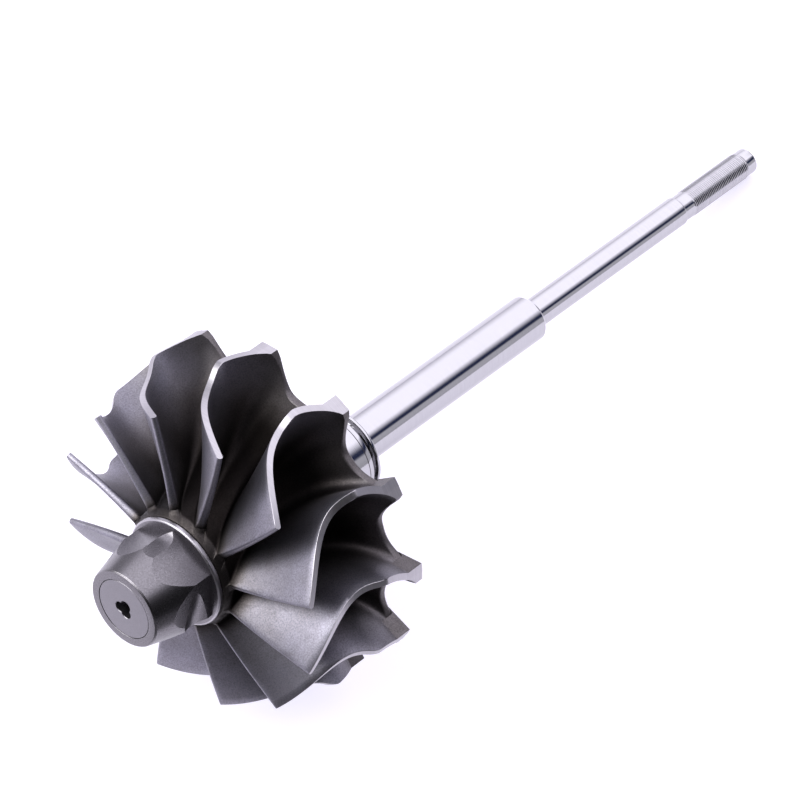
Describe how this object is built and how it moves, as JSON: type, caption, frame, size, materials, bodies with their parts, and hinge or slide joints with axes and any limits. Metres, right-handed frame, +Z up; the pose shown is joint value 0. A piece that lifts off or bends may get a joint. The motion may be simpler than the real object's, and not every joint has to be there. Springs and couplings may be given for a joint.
{
  "type": "turbine wheel",
  "caption": "Radial turbine wheel with curved blades and a scalloped back disc on a stepped shaft with a seal boss, bearing journal, stub and threaded end.",
  "frame": {"origin": "middle of the footprint, on the floor that the rotor lies on", "axes": "+X along the floor from the wheel to the threaded end, +Z up; the rotor's own axis points along +X and dips 12.65 degrees below the horizontal"},
  "size_m": [0.1906, 0.0744, 0.0739],
  "materials": {
    "cast_alloy": "dark blasted casting",
    "blade_alloy": "grey blasted casting with ground outer edges",
    "machined_alloy": "machined",
    "ground_steel": "ground and polished",
    "thread_steel": "rolled thread"
  },
  "bodies": {
    "root": {"hub": "cast_alloy", "back_disc": "cast_alloy", "blade_01": "blade_alloy", "blade_02": "blade_alloy", "blade_03": "blade_alloy", "blade_04": "blade_alloy", "blade_05": "blade_alloy", "blade_06": "blade_alloy", "blade_07": "blade_alloy", "blade_08": "blade_alloy", "blade_09": "blade_alloy", "blade_10": "blade_alloy", "blade_11": "blade_alloy", "blade_12": "blade_alloy", "nose_boss": "machined_alloy", "nose_face": "machined_alloy", "seal_boss": "ground_steel", "journal": "ground_steel", "stub_shaft": "ground_steel", "thread_relief": "ground_steel", "threaded_end": "thread_steel", "shaft_tip": "ground_steel"}
  },
  "joints": []
}
